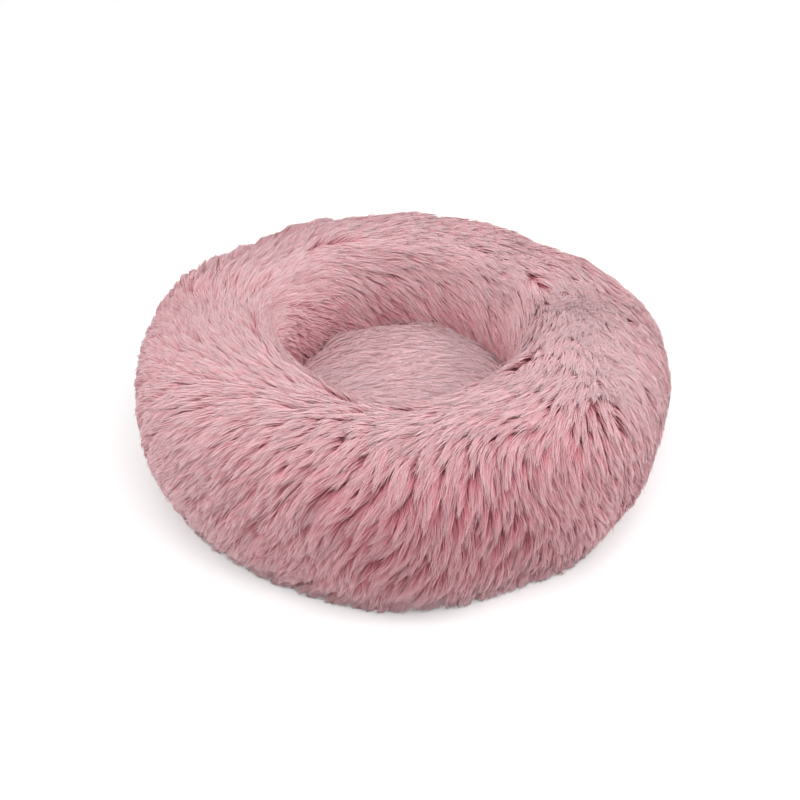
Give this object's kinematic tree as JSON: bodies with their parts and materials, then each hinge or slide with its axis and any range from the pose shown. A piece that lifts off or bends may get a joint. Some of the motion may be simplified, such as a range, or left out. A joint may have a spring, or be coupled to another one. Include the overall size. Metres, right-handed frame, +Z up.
{
  "type": "donut pet bed",
  "caption": "Round plush pet bed: a plump fur ring round a crowned cushion, with a quilted grip-dot base that a zip opens.",
  "frame": {"origin": "on the floor, under the middle of the base, at the tip of the middle grip dot", "axes": "+Z up, +X to the right and -Y to the front of the bed as pictured"},
  "size_m": [0.5898, 0.568, 0.2185],
  "materials": {
    "ring_fur": "long-pile dusty pink faux fur",
    "cushion_fur": "long-pile dusty pink faux fur, paler",
    "liner": "white non-woven cloth",
    "fibre": "white polyester fibre",
    "seam_tape": "woven rose tape",
    "base_cloth": "grey woven cloth with moulded grip dots",
    "pad": "quilted wadding",
    "zip_tape": "woven rose tape",
    "zip_teeth": "moulded nylon",
    "zip_metal": "nickel-plated zinc"
  },
  "bodies": {
    "bed": {"ring_fur_cover": "ring_fur", "ring_liner": "liner", "ring_fibre_fill": "fibre", "cushion_fur_cover": "cushion_fur", "cushion_liner": "liner", "cushion_fibre_fill": "fibre", "nest_seam_tape": "seam_tape", "base_seam_binding": "seam_tape", "base_cloth_front": "base_cloth", "base_cloth_rear": "base_cloth", "base_pad_front": "pad", "base_pad_rear": "pad", "zip_tape_front": "zip_tape", "zip_tape_rear": "zip_tape", "zip_teeth_front": "zip_teeth", "zip_teeth_rear": "zip_teeth", "zip_top_stop_front": "zip_metal", "zip_top_stop_rear": "zip_metal", "zip_bottom_stop": "zip_metal"},
    "slider": {"zip_slider": "zip_metal"},
    "pull_tab": {"zip_pull_tab": "zip_metal"}
  },
  "joints": [
    {"name": "zip_slide", "type": "slide", "parent": "bed", "child": "slider", "axis": [-1, 0, 0], "range_m": [0, 0.269], "deforming": ["zip_teeth_front", "zip_teeth_rear", "zip_tape_front", "zip_tape_rear"]},
    {"name": "pull_tab_swing", "type": "hinge", "parent": "slider", "child": "pull_tab", "pos_m": [0.1355, 0.1144, 0.00415], "axis": [0, -1, 0], "range_deg": [0, 170]}
  ]
}
